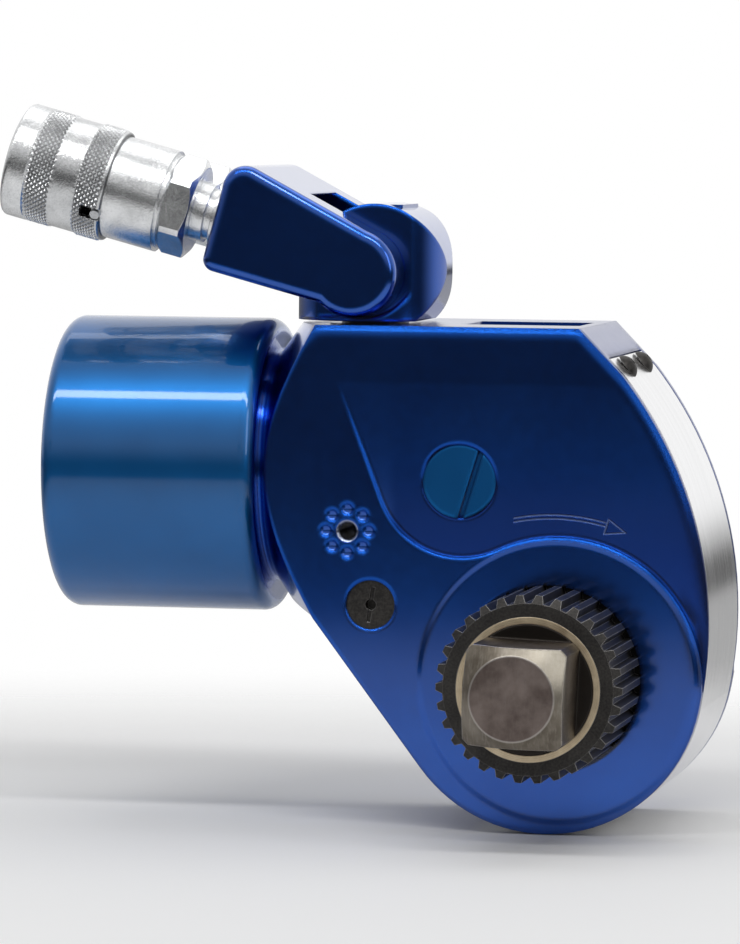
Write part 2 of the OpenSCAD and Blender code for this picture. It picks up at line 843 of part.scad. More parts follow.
module reaction_pawl() {
    tip = [pawl_tip_r * cos(reaction_face + 5), pawl_tip_r * sin(reaction_face + 5)];
    color(steel) place() difference() {
        across(ratchet_w - 2) difference() {
            union() {
                strap([pawl_pin_x, pawl_pin_z, pawl_eye_r], [tip[0], tip[1], 3.6]);
                strap([pawl_pin_x, pawl_pin_z, pawl_eye_r], [pawl_pin_x - 3, pawl_spring_z, pawl_horn_r]);
            }
            ratchet_outline(gap, tooth_slack);
            rotate(reaction_face + tooth_slack) translate([0, -far]) square([far, far]);
        }
        translate([pawl_pin_x, 0, pawl_pin_z]) bar_y(-face_y, face_y, pawl_pin_r + run);
    }
}

module pawl_pivot_pin() {
    color(black_oxide) place() translate([pawl_pin_x, 0, pawl_pin_z]) difference() {
        union() {
            bar_y(-face_y + 0.4, face_y - 4, pawl_pin_r);
            bar_y(-face_y + 0.4, -face_y + pin_head_t, pin_head_r);
        }
        bar_y(-face_y - 1, -face_y + 3.4, 1.4);
        rotate([0, 8, 0]) translate([-0.5, -face_y - 1, -pin_head_r * 0.72])
            cube([1, 2.2, pin_head_r * 1.44]);
    }
}

module reaction_pawl_spring() {
    color(steel) place() translate([chamber_x, 0, pawl_spring_z]) rotate([0, 90, 0])
        coil(pawl_pin_x - 3 - pawl_horn_r - 2 - chamber_x, 2.6, 0.55, 3);
}

module drive_retainer() {
    y0 = face_y + gap;
    color(steel) place() difference() {
        union() {
            about_y() soft_section(retainer_r, y0, y0 + retainer_t, 1);
            bar_y(hub_end_y - 13.6, y0 + 1, retainer_bolt_r);
        }
        bar_y(hub_end_y - 9, far, button_r + run);
        for (i = [0 : 11])
            rotate([0, i * 30, 0]) translate([retainer_r + 0.9, 0, 0])
                bar_y(y0 - 1, y0 + retainer_t + 1, 2);
    }
}

module retainer_button() {
    y0 = face_y + gap + retainer_t;
    color(black_oxide) place()
        about_y() soft_section(button_r, y0 - 5, y0 + button_stand, 0.8);
}

module retainer_spring() {
    color(steel) place() translate([0, hub_end_y - 9, 0]) rotate([-90, 0, 0])
        coil(face_y + gap + retainer_t - 5 - button_travel - hub_end_y + 9 - 0.3, 3.4, 0.6, 4);
}

module shroud() {
    color(steel) place() difference() {
        across(body_w - 2 * (lip_w + shroud_gap)) difference() {
            intersection() {
                side_outline(0);
                shroud_sector(shroud_gap);
            }
            side_outline(shroud_t - 0.1);
        }
        at_screws() translate([0, 0, -9]) cylinder(h = 20, r = screw_r + 0.2);
    }
}

module shroud_screws() {
    color(black_oxide) place() at_screws() difference() {
        union() {
            rotate_extrude() intersection() {
                translate([0, screw_dome_c]) circle(r = screw_dome_r);
                square([screw_head_r, 4]);
            }
            translate([0, 0, -8]) cylinder(h = 8.5, r = screw_r - 0.02);
        }
        translate([0, 0, 0.9]) cylinder(h = 4, r = 1.3, $fn = 6);
    }
}

module access_plug() {
    color(blue) place() translate([rod_pin_x, 0, rod_pin_z]) difference() {
        bar_y(-face_y + plug_depth, -face_y + plug_sink + plug_t, plug_r);
        rotate([0, plug_turn, 0]) translate([plug_slot_x - plug_slot_w / 2, -face_y - 1, -2 * plug_r])
            cube([plug_slot_w, 2.6 + plug_depth, 4 * plug_r]);
    }
}

module swivel_turret() {
    color(blue) place() translate([pivot_x, 0, 0]) difference() {
        union() {
            intersection() {
                translate([0, 0, turret_foot_z]) cylinder(h = far, r = turret_r);
                union() {
                    translate([turret_r - turret_disc_r - 0.4, 0, pivot_z - 1.6])
                        bar_y(-far / 5, far / 5, turret_disc_r);
                    translate([-far / 5, -far / 5, turret_foot_z - 1])
                        cube([far / 5, 2 * far / 5, pivot_z - turret_foot_z + 1]);
                }
            }
            translate([0, -tongue_half + 5, pivot_z])
                cube([lug_x, 2 * tongue_half - 10, lug_top]);
            translate([0, 0, turret_foot_z - 0.3]) cylinder(h = 1, r = spigot_r + 3);
            translate([0, 0, top_z - spigot_len]) cylinder(h = spigot_len + 2, r = spigot_r);
        }
        for (s = [-1, 1]) translate([0, s * (tongue_half + far / 2), 0]) {
            translate([0, 0, pivot_z]) bar_y(-far / 2, far / 2, recess_r);
            translate([-far, -far / 2, pivot_z]) cube([2 * far, far, far]);
            translate([-far, -far / 2, turret_base_top]) cube([far, far, far]);
        }
        translate([0, 0, pivot_z]) bar_y(-far, far, swivel_pin_r + run);
        for (z = [4, 8])
            translate([0, 0, top_z - z]) difference() {
                cylinder(h = 2.4, r = far / 10);
                translate([0, 0, -1]) cylinder(h = 5, r = spigot_r - 1.6);
            }
        translate([0, 0, top_z - spigot_len + 1]) difference() {
            cylinder(h = 1.2, r = far / 10);
            translate([0, 0, -1]) cylinder(h = 4, r = spigot_r - 0.9);
        }
    }
}

module turret_seals() {
    color(seal_black) place() for (z = [4, 8])
        translate([pivot_x, 0, top_z - z + 1.2]) rotate_extrude()
            translate([spigot_r - 0.8, 0]) square([1.6, 2], center = true);
}

module turret_clip() {
    color(steel) place() translate([pivot_x, 0, top_z - spigot_len + 1.1]) difference() {
        cylinder(h = 1, r = spigot_r);
        translate([0, 0, -1]) cylinder(h = 3, r = spigot_r - 0.85);
        translate([-1.5, 0, -1]) cube([3, far, 3]);
    }
}

module swivel_pin() {
    color(steel) place() translate([pivot_x, 0, pivot_z]) difference() {
        union() {
            bar_y(-arm_half_w + 4, arm_half_w - 0.6, swivel_pin_r);
            bar_y(arm_half_w - 3.4, arm_half_w - 0.6, swivel_pin_r + 2);
        }
        translate([0, arm_half_w - 3, 0]) rotate([-90, 0, 0]) cylinder(h = 9, r = 2.6, $fn = 6);
    }
}

module swivel_block() {
    low = [-arm_len + arm_corner_low, -arm_under + arm_corner_low, arm_corner_low];
    high = [-arm_len + arm_corner_top, arm_over - arm_corner_top, arm_corner_top];
    mid_r = arm_end_r - (arm_end_r + arm_end_drop - arm_under) / 2;
    mid = [-0.7, mid_r - arm_under, mid_r];
    end = [-0.2, -arm_end_drop, arm_end_r];
    color(blue) place() on_arm() difference() {
        union() {
            hull() {
                soft_disc(low, arm_half_w, arm_soft, $fn = 32);
                soft_disc(high, arm_half_w, arm_soft, $fn = 40);
                soft_disc(mid, arm_half_w, arm_soft, $fn = 56);
            }
            soft_disc(end, arm_half_w, arm_soft);
        }
        bar_y(-tongue_half - gap, tongue_half + gap, slot_r);
        bar_y(-arm_half_w + 4, far, swivel_pin_r);
        bar_y(arm_half_w - 3.4, far, swivel_pin_r + 2);
        for (y = [-coupler_y, coupler_y])
            at_u(y, arm_len - nipple_sink) cylinder(h = far, r = nipple_r);
    }
}

// Hexagon with turned corners, along a coupler's axis
module turned_hex(y, size) {
    corner = size / sqrt(3);
    turned = corner - 0.5;
    intersection() {
        at_u(y, hex_u) cylinder(h = hex_len, r = corner, $fn = 6);
        along_u(y) polygon([
            [0, hex_u],
            [size / 2 - 0.4, hex_u],
            [turned, hex_u + 1.2],
            [turned, hex_u + hex_len - 1],
            [size / 2, hex_u + hex_len],
            [0, hex_u + hex_len]
        ]);
    }
}

// Threaded nipple between the arm and a coupler
module nipple_section() {
    step(0, nipple_r, arm_len - nipple_sink, hex_u);
    step(0, nipple_r + 1.6, arm_len + 0.4, arm_len + 1.8);
    step(0, nipple_r + 1, hex_u - 3.4, hex_u);
}

module female_body() {
    color(zinc) place() on_arm() difference() {
        union() {
            turned_hex(-coupler_y, female_hex);
            along_u(-coupler_y) {
                nipple_section();
                step(0, female_r - 1, body_u, body_u + 1);
                step(0, female_r, body_u + 1, shoulder_u);
                step(0, socket_nose_r, shoulder_u, front_u - 0.6);
            }
        }
        along_u(-coupler_y) {
            step(0, oil_r, 0, front_u);
            step(0, chamber_r, chamber_u, socket_end_u - 1);
            step(0, socket_r - 3.4, socket_end_u - 2, socket_end_u + 1);
            step(0, socket_r, socket_end_u, front_u + 1);
        }
        for (i = [0 : ball_count - 1])
            at_u(-coupler_y, ball_u) rotate([0, 0, i * 360 / ball_count]) rotate([0, 90, 0])
                cylinder(h = far / 5, r = ball_r + run);
        at_u(-coupler_y, lock_pin_u) rotate([0, 0, lock_turn]) rotate([0, 90, 0])
            translate([0, 0, female_r - 1.2]) cylinder(h = 4, r = lock_pin_r);
    }
}

module female_sleeve() {
    r0 = sleeve_r;
    color(zinc) place() on_arm() difference() {
        along_u(-coupler_y) difference() {
            union() {
                soft_section(r0, sleeve_u, front_u - 2, 0.6);
                soft_section(r0 + knurl_rise, sleeve_u + rear_knurl, sleeve_u + rear_knurl + knurl_len, 0.35);
                soft_section(r0 + knurl_rise, sleeve_u + front_knurl, front_u, 1.3);
            }
            step(0, female_r + run, 0, land_u);
            step(0, socket_nose_r + run, 0, front_u + 1);
            step(0, socket_nose_r + 1.4, land_u + land_len, front_u + 1);
        }
        at_u(-coupler_y, sleeve_u - 1) rotate([0, 0, lock_turn])
            translate([0, -lock_pin_r - gap, 0])
                cube([far / 5, 2 * (lock_pin_r + gap), notch_len + 1]);
    }
}

module sleeve_spring() {
    color(steel) place() on_arm() at_u(-coupler_y, shoulder_u)
        coil(land_u - shoulder_u - sleeve_travel - 0.3, (socket_nose_r + female_r + run) / 2, 0.55, 2);
}

module sleeve_lock_pin() {
    color(zinc) place() on_arm() at_u(-coupler_y, lock_pin_u) rotate([0, 0, lock_turn])
        rotate([0, 90, 0]) translate([0, 0, female_r - 1.2])
            cylinder(h = sleeve_r - female_r + 1.3, r = lock_pin_r);
}

module lock_balls() {
    color(steel) place() on_arm() at_u(-coupler_y, ball_u)
        for (i = [0 : ball_count - 1])
            rotate([0, 0, i * 360 / ball_count]) translate([socket_nose_r - ball_r - run, 0, 0])
                sphere(r = ball_r);
}

module female_poppet() {
    color(zinc) place() on_arm() along_u(-coupler_y) {
        step(0, chamber_r - run, socket_end_u - 1.05 - poppet_len, socket_end_u - 1.05);
        step(0, socket_r - 3.4 - run, socket_end_u - 2, socket_end_u - 0.2);
    }
}

module female_poppet_spring() {
    color(steel) place() on_arm() at_u(-coupler_y, chamber_u)
        coil(socket_end_u - 1.05 - poppet_len - poppet_travel - chamber_u - 0.3, 4.2, 0.5, 3);
}

module male_body() {
    color(zinc) place() on_arm() difference() {
        union() {
            turned_hex(coupler_y, male_hex);
            along_u(coupler_y) {
                step(0, nipple_r, arm_len - nipple_sink, hex_u);
                step(0, male_collar_r, arm_len + 1.6, hex_u + 0.5);
                step(0, male_body_r, body_u, body_u + male_step);
                soft_section(male_r, body_u, male_front_u, 0.6);
            }
        }
        along_u(coupler_y) {
            step(0, oil_r, 0, male_front_u + 1);
            step(0, male_bore_r, male_front_u - 20, male_front_u - 1.5);
            step(0, male_bore_r - 1.6, male_front_u - 4, male_front_u + 1);
            step(male_r - 1.2, male_r + 2, male_front_u - 10, male_front_u - 6.6);
        }
    }
}

module male_poppet() {
    color(zinc) place() on_arm() along_u(coupler_y) {
        step(0, male_bore_r - run, male_front_u - 1.55 - poppet_len, male_front_u - 1.55);
        step(0, male_bore_r - 1.6 - run, male_front_u - 3, male_front_u + 0.6);
    }
}

module male_poppet_spring() {
    color(steel) place() on_arm() at_u(coupler_y, male_front_u - 20)
        coil(20 - 1.55 - poppet_len - poppet_travel - 0.3, 3.8, 0.5, 3);
}

housing();
cylinder_cap();
rod_gland();
piston();
piston_seal();
piston_rod();
rod_pin();
drive_plates();
pawl_bridge();
drive_pawl();
drive_pawl_springs();
ratchet();
square_drive();
spline_ring();
front_bush();
hub_bushes();
reaction_pawl();
pawl_pivot_pin();
reaction_pawl_spring();
drive_retainer();
retainer_button();
retainer_spring();
shroud();
shroud_screws();
access_plug();
swivel_turret();
turret_seals();
turret_clip();
swivel_pin();
swivel_block();
female_body();
female_sleeve();
sleeve_spring();
sleeve_lock_pin();
lock_balls();
female_poppet();
female_poppet_spring();
male_body();
male_poppet();
male_poppet_spring();
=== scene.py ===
"""Looks of a hydraulic torque wrench: finishes for its solids, a knurled sleeve, studio and camera.

Lengths are in millimetres, in the frame of the solids: the drive's axis is the Y axis, and Z is up.
"""
import json
import math

import bmesh
import bpy
import numpy as np
from mathutils import Matrix, Vector


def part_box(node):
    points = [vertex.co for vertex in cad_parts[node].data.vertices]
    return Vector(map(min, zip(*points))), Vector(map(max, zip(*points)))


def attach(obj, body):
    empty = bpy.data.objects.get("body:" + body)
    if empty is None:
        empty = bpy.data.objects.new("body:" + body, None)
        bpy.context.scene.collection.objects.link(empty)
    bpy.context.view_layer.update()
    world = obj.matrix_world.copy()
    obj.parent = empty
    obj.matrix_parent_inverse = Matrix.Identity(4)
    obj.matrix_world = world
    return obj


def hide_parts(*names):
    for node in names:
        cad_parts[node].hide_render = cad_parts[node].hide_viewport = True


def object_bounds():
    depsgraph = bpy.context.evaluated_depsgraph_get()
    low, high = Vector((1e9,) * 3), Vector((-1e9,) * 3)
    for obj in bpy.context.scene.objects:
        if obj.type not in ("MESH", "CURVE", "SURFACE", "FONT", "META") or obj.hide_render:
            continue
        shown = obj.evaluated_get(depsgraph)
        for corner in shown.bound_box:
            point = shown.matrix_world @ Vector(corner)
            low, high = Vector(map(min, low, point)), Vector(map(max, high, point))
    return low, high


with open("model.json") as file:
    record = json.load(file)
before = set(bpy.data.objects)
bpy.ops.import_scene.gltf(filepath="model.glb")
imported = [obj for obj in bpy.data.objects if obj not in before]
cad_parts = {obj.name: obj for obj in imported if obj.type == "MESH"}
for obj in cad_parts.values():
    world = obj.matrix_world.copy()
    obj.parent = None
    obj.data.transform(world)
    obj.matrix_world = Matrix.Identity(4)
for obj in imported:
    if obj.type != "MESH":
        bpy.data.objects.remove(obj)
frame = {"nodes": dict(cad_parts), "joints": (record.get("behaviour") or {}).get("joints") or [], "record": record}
cad_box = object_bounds()
nodes = frame["nodes"]
joints = {joint["name"]: joint for joint in frame["joints"]}
mounts = {mount["name"]: mount for mount in frame["record"]["mounts"]}
MM = 0.001


def in_mm(place):
    """A place of the frame, in millimetres."""
    return [axis / MM for axis in place]


# Arm that carries the couplers: its pivot, its tilt, and the near coupler's axis on it
PIVOT = in_mm(joints["swivel_tilt"]["pos_m"])
SLIDE_AXIS = joints["sleeve_slide"]["axis"]
ARM_TILT = math.atan2(-SLIDE_AXIS[2], SLIDE_AXIS[0])
COUPLER_Y = -15.0
COUPLER_V = 1.2

# Housing: a centre is the x and z of an axis along Y, and a half width is counted from the middle plane
MIDDLE_Y = PIVOT[1]
BARREL_END_X = -77.6
TOP_Z = 90.5
FRONT_CENTRE = (-64.73, 13.0)
FRONT_R = 106.0
HANDLE_HOLE = in_mm(mounts["handle_hole_near"]["pos_m"])[::2]
BORE_R = 2.2
BORE_RING_R = 2.8
BORE_HALF_W = 26.6
SUNK_HALF_W = 30.2
FLUSH_HALF_W = 31.8
SUNK_START_X = -44.0
SUNK_FULL_X = -40.0

# Direction arrow on the near panel: the circle it follows, its two ends and its head
ARROW_CENTRE = (1.0, -10.0)
ARROW_R = 51.8
ARROW_HALF_W = 0.5
ARROW_TAIL_X = -9.9
ARROW_NECK_X = 14.6
ARROW_TIP = (19.6, 38.0)
ARROW_UPPER_BARB = (15.2, 41.4)
ARROW_LOWER_BARB = (14.0, 37.6)
ARROW_DEEPEST_Y = 40.0

# Square drive: its end face with a round flat, and the cone on its corners
DRIVE_CENTRE = (0.0, 0.0)
DRIVE_END_Y = in_mm(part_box("square_drive")[0])[1]
DRIVE_CONE_Y = DRIVE_END_Y + 5.0
DRIVE_END_R = 10.75

# Near coupler's sleeve, with its stations measured from its rear end
SLEEVE_U = 69.5
SLEEVE_LEN = 27.8
SLEEVE_R = 14.8
REAR_ROUND = 0.6
FRONT_ROUND = 1.3
BODY_R = 13.75
NOSE_R = 11.65
RELIEF_R = 13.0
LAND = (SLEEVE_LEN - 11.5, SLEEVE_LEN - 4.5)
LEAST_WALL = 0.1
KNURL_RISE = 0.4
KNURL_SINK = 0.45
KNURL_RAMP = 0.4
KNURL_CREST = 0.8
REAR_KNURL = (0.9, 7.7)
FRONT_KNURL = (14.5, 21.3)
RING_RAMP = 0.35
RIDGES = 60
AROUND = RIDGES * 6
STATIONS = (5, 48, 9, 48, 18)
NOTCH_ANGLE = math.radians(32.0)
NOTCH_HALF = 1.65
NOTCH_LEN = 5.65

# Colours as linear red, green and blue; a pair runs from dark to light
MILLED_BLUE = ((0.007, 0.070, 0.370), (0.010, 0.086, 0.430))
TURNED_BLUE = ((0.004, 0.098, 0.305), (0.006, 0.118, 0.360))
# Painted shade on the sunk lower part of the side panels
SUNK_SHADE_BLUE = (0.003, 0.018, 0.150)
# Pale blue of the engraved arrow, partly a painted sheen
ARROW_SHEEN_BLUE = (0.170, 0.230, 0.420)
# Paler grey of the ring round the mouth of each handle hole
PALE_RING_GREY = (0.42, 0.43, 0.45)
# Painted shade inside the handle holes
BORE_SHADE = (0.004, 0.005, 0.010)
STAINLESS = ((0.76, 0.76, 0.77), (0.88, 0.88, 0.89))
PLATED = ((0.58, 0.59, 0.60), (0.92, 0.93, 0.94))
PLATING_SPOT = (0.24, 0.25, 0.26)
# Painted shade at the bottom of the knurl grooves
GROOVE_SHADE = (0.07, 0.07, 0.074)
OXIDE = ((0.020, 0.019, 0.019), (0.058, 0.054, 0.050))
RUBBED_OXIDE = (0.42, 0.41, 0.40)
TOOL_STEEL = ((0.060, 0.048, 0.041), (0.180, 0.152, 0.130))
CONE_STEEL = ((0.090, 0.075, 0.058), (0.220, 0.195, 0.160))
# Painted highlight on the upper right side of the square's cone
CONE_PAINTED_HIGHLIGHT = (0.430, 0.400, 0.335)
END_STEEL = ((0.090, 0.068, 0.060), (0.250, 0.205, 0.186))
SCRATCH_STEEL = (0.46, 0.42, 0.38)
SCUFFED_STEEL = (0.60, 0.57, 0.54)
# Painted shade on the drive parts behind the housing's near face
INNER_SHADE_STEEL = (0.030, 0.026, 0.023)
GROUND_STEEL = ((0.46, 0.47, 0.48), (0.66, 0.67, 0.68))
BRONZE = ((0.40, 0.31, 0.20), (0.78, 0.66, 0.47))
WIRE = ((0.40, 0.41, 0.42), (0.60, 0.61, 0.63))
RUBBER = ((0.010, 0.010, 0.010), (0.035, 0.034, 0.033))
PALE_FLOOR = ((0.86, 0.86, 0.86), (0.89, 0.89, 0.89))
WHITE = (1.0, 1.0, 1.0, 1.0)

# Floor sheet, with its middle as x and y: solid up to one radius, faded out at the other
FLOOR_Z = in_mm(cad_box[0])[2] - 0.2
FLOOR_MIDDLE = (-40.0, -100.0)
FLOOR_SOLID_R = 280.0
FLOOR_R = 580.0
FLOOR_SIDES = 96

# Lamps, with their power in watts
SOFTBOXES = {
    "strip": dict(place=(-60, -560, 980), aim=(-60, 60, 50), width=1500, height=120, power=6.4),
    "side": dict(place=(760, -420, 420), aim=(-20, 30, 50), width=240, height=520, power=0.9),
    "top": dict(place=(-50, 330, 900), aim=(-40, 60, 40), width=900, height=500, power=1.6),
}

# Camera fitted to the photograph: turns in radians, focal length and image height in pixels
CAMERA_PLACE = (240.835, -1435.032, 143.803)
CAMERA_YAW = 0.194
CAMERA_PITCH = 0.061
CAMERA_ROLL = 0.008
FOCAL_PIXELS = 5769.438
IMAGE_HEIGHT = 944.0
SENSOR_HEIGHT = 36.0


# Shader maths

def add_node(tree, kind, settings=None, sockets=None):
    """Any node: its settings come first, then the values or links of its sockets, by name or number."""
    made = tree.nodes.new(kind)
    for key, setting in (settings or {}).items():
        setattr(made, key, setting)
    for key, given in (sockets or {}).items():
        feed(tree, made.inputs[key], given)
    return made


def feed(tree, socket, given):
    """Links a socket to a value or another socket, or sets it to a number or colour."""
    if isinstance(given, Value):
        given = given.socket
    if isinstance(given, bpy.types.NodeSocket):
        tree.links.new(given, socket)
    else:
        socket.default_value = given


class Value:
    """A number that varies over a surface. Arithmetic on it adds Math nodes to its tree."""

    def __init__(self, tree, socket):
        self.tree = tree
        self.socket = socket

    def _math(self, operation, *terms, clamp=False):
        settings = {"operation": operation, "use_clamp": clamp}
        made = add_node(self.tree, "ShaderNodeMath", settings, dict(enumerate(terms)))
        return Value(self.tree, made.outputs[0])

    def __add__(self, other):
        return self._math("ADD", self, other)

    def __radd__(self, other):
        return self._math("ADD", other, self)

    def __sub__(self, other):
        return self._math("SUBTRACT", self, other)

    def __rsub__(self, other):
        return self._math("SUBTRACT", other, self)

    def __mul__(self, other):
        return self._math("MULTIPLY", self, other)

    def __rmul__(self, other):
        return self._math("MULTIPLY", other, self)

    def __pow__(self, other):
        return self._math("POWER", self, other)

    def __abs__(self):
        return self._math("ABSOLUTE", self)

    def clamp(self):
        """The value, held between 0 and 1."""
        return self._math("ADD", self, 0.0, clamp=True)

    def root(self):
        """Square root."""
        return self._math("SQRT", self)

    def most(self, other):
        """The larger of two values."""
        return self._math("MAXIMUM", self, other)

    def step(self, low, high):
        """Smooth step: 0 below low, 1 above high."""
        made = add_node(self.tree, "ShaderNodeMapRange", {"interpolation_type": "SMOOTHSTEP"},
                        {"Value": self, "From Min": low, "From Max": high})
        return Value(self.tree, made.outputs["Result"])


class Nodes:
    """An empty node tree to build in."""

    def __init__(self, tree):
        self.tree = tree
        tree.nodes.clear()

    def node(self, kind, settings=None, sockets=None):
        """A new node of any kind."""
        return add_node(self.tree, kind, settings, sockets)

    def value(self, node, output):
        """One output of a node, as a value to calculate with."""
        return Value(self.tree, node.outputs[output])

    def axes(self, vector):
        """The three numbers of a vector."""
        split = self.node("ShaderNodeSeparateXYZ", sockets={"Vector": vector})
        return [self.value(split, axis) for axis in range(3)]

    def blend(self, factor, low, high):
        """One shader laid over another by a factor."""
        return self.node("ShaderNodeMixShader", sockets={0: factor, 1: low.outputs[0], 2: high.outputs[0]})


class Finish(Nodes):
    """One procedural material, drawn on Object coordinates in millimetres."""

    # Numbers of a Mix node's two inputs and of its output, for each type of data
    MIX_SOCKETS = {"RGBA": (6, 7, 2), "VECTOR": (4, 5, 1)}

    def __init__(self, name):
        self.material = bpy.data.materials.new(name)
        self.material.use_nodes = True
        super().__init__(self.material.node_tree)
        self.shader = self.node("ShaderNodeBsdfPrincipled")
        self.node("ShaderNodeOutputMaterial", sockets={"Surface": self.shader.outputs[0]})
        place = self.node("ShaderNodeTexCoord").outputs["Object"]
        self.place = self.vector("SCALE", {"Vector": place, "Scale": 1.0 / MM}).outputs[0]
        self.x, self.y, self.z = self.axes(self.place)

    def vector(self, operation, sockets):
        """Node of vector arithmetic."""
        return self.node("ShaderNodeVectorMath", {"operation": operation}, sockets)

    def from_axis(self, centre):
        """Distance from an axis along Y, given by its x and z."""
        return ((self.x - centre[0]) ** 2.0 + (self.z - centre[1]) ** 2.0).root()

    def noise(self, scale, detail=3.0, stretch=(1.0, 1.0, 1.0), roughness=0.55):
        """Noise of about the given number of patches in a millimetre, centred on 0.5."""
        where = self.vector("MULTIPLY", {0: self.place, 1: stretch}).outputs[0]
        sockets = {"Vector": where, "Scale": scale, "Detail": detail, "Roughness": roughness}
        return self.value(self.node("ShaderNodeTexNoise", sockets=sockets), "Fac")

    def cells(self, scale):
        """Distance to the nearest of many scattered points."""
        sockets = {"Vector": self.place, "Scale": scale}
        return self.value(self.node("ShaderNodeTexVoronoi", sockets=sockets), "Distance")

    def mixed(self, data, factor, low, high):
        """Output between two inputs of the same type of data."""
        first, second, output = self.MIX_SOCKETS[data]
        sockets = {0: factor, first: low, second: high}
        return self.node("ShaderNodeMix", {"data_type": data}, sockets).outputs[output]

    def mix(self, factor, low, high):
        """Colour between two colours, each a socket or red, green and blue."""
        colours = [c if isinstance(c, bpy.types.NodeSocket) else (*c, 1.0) for c in (low, high)]
        return self.mixed("RGBA", factor, *colours)

    def between(self, factor, low, high):
        """Normal between two normals."""
        return self.vector("NORMALIZE", {0: self.mixed("VECTOR", factor, low, high)}).outputs[0]

    def soft_edge(self, radius):
        """Normal that runs round the solid's edges as if they had this radius, in millimetres."""
        return self.node("ShaderNodeBevel", {"samples": 8}, {"Radius": radius * MM}).outputs[0]

    def edge_wear(self, radius):
        """0 on open faces, rising to 1 close to an edge of the solid."""
        true = self.node("ShaderNodeNewGeometry").outputs["Normal"]
        agree = self.vector("DOT_PRODUCT", {0: true, 1: self.soft_edge(radius)})
        return (1.0 - self.value(agree, "Value")).step(0.01, 0.22)

    def bump(self, height, depth, normal):
        """Normal of a surface raised by height times depth, in millimetres."""
        sockets = {"Height": height, "Distance": depth * MM, "Strength": 1.0, "Normal": normal}
        return self.node("ShaderNodeBump", sockets=sockets).outputs[0]

    def finish(self, sockets):
        """The material, with these values and links on its shader."""
        for key, given in sockets.items():
            feed(self.tree, self.shader.inputs[key], given)
        return self.material


def dress(material, *names):
    """Gives CAD nodes this material."""
    for name in names:
        mesh = nodes[name].data
        mesh.materials.clear()
        mesh.materials.append(material)


# Masks on the housing

def arrow_mask(coat):
    """Curved arrow on the near side panel: two thin arcs, with three short strokes as its head."""
    x, z = coat.x, coat.z
    stroke = (0.12, 0.36)
    blur = 0.3
    arcs = 1.0 - abs(abs(coat.from_axis(ARROW_CENTRE) - ARROW_R) - ARROW_HALF_W).step(*stroke)
    shaft = x.step(ARROW_TAIL_X, ARROW_TAIL_X + 0.4) * (1.0 - x.step(ARROW_NECK_X, ARROW_NECK_X + blur))

    def line(start, end):
        """Straight stroke between two points."""
        length = math.dist(start, end)
        dx = (end[0] - start[0]) / length
        dz = (end[1] - start[1]) / length
        along = (x - start[0]) * dx + (z - start[1]) * dz
        off = abs((x - start[0]) * (-dz) + (z - start[1]) * dx)
        return (1.0 - off.step(*stroke)) * along.step(-blur, 0.0) * (1.0 - along.step(length, length + blur))

    head = line(ARROW_TIP, ARROW_UPPER_BARB).most(line(ARROW_TIP, ARROW_LOWER_BARB))
    head = head.most(line(ARROW_LOWER_BARB, ARROW_UPPER_BARB))
    near_side = 1.0 - coat.y.step(ARROW_DEEPEST_Y, ARROW_DEEPEST_Y + 4.0)
    return (arcs * shaft).most(head) * near_side


def hole_mask(coat):
    """Two masks of the two handle holes: the bore, painted near black as shade, and a paler grey ring round its
    mouth.
    """
    blur = 0.2
    away = coat.from_axis(HANDLE_HOLE)
    deep = 1.0 - abs(coat.y - MIDDLE_Y).step(BORE_HALF_W, BORE_HALF_W + 4.0 * blur)
    bore = (1.0 - away.step(BORE_R, BORE_R + blur)) * deep
    ring = (1.0 - away.step(BORE_RING_R, BORE_RING_R + blur)) * (1.0 - bore)
    return bore, ring


def rim_mask(coat):
    """1 along the housing's top edge and curved front edge, which are rounded more softly than the rest."""
    start, full = 8.0, 1.0
    top = coat.z.step(TOP_Z - start, TOP_Z - full)
    front = coat.from_axis(FRONT_CENTRE).step(FRONT_R - start, FRONT_R - full)
    return top.most(front)


def sunk_mask(coat):
    """1 on the deep lower part of the slanted panels on both sides, falling to 0 where they run out."""
    low = 1.0 - abs(coat.y - MIDDLE_Y).step(SUNK_HALF_W, FLUSH_HALF_W)
    return low * coat.x.step(SUNK_START_X, SUNK_FULL_X)


def barrel_mask(coat):
    """1 on the turned cylinder of the housing, 0 on its milled faces."""
    return 1.0 - coat.x.step(BARREL_END_X - 0.4, BARREL_END_X + 0.2)


# Finishes

def blue_gloss(name, turned=0.0, marked=False):
    """Deep blue metal under a clear gloss; turned surfaces scatter more and look paler.

    The marked one is the housing's, with its arrow, handle holes, sunk panels and soft rim.
    """
    coat = Finish(name)
    if marked:
        turned = barrel_mask(coat)
    cloud = coat.noise(0.035, detail=2.0).step(0.3, 0.7)
    grain = coat.noise(2.2, detail=2.0)
    haze = coat.noise(0.35, detail=4.0)
    colour = coat.mix(turned, coat.mix(cloud, *MILLED_BLUE), coat.mix(cloud, *TURNED_BLUE))
    rough = 0.13 + 0.06 * haze + 0.03 * grain + 0.20 * turned
    gloss = 0.9
    normal = coat.soft_edge(1.6)
    if marked:
        mark = arrow_mask(coat)
        bore, ring = hole_mask(coat)
        sunk = sunk_mask(coat)
        # The sunk part of the panels is painted a darker blue as shade, and its gloss is cut
        colour = coat.mix(sunk * 0.7, colour, SUNK_SHADE_BLUE)
        # A paler grey ring is laid round the mouth of each handle hole
        colour = coat.mix(ring * 0.7, colour, PALE_RING_GREY)
        # The inside of each handle hole is painted near black as shade
        colour = coat.mix(bore, colour, BORE_SHADE)
        # The arrow is a real engraved mark; its paler blue is a painted sheen on it
        colour = coat.mix(mark * 0.6, colour, ARROW_SHEEN_BLUE)
        rough = rough + 0.12 * mark
        gloss = gloss - 0.7 * sunk
        normal = coat.between(rim_mask(coat), normal, coat.soft_edge(5.0))
        normal = coat.bump(mark * -1.0, 0.2, normal)
    return coat.finish({
        "Base Color": colour, "Metallic": 1.0, "Roughness": rough,
        "Normal": coat.bump(grain, 0.0020, normal),
        "Coat Weight": gloss, "Coat Roughness": 0.07, "Coat IOR": 1.5})


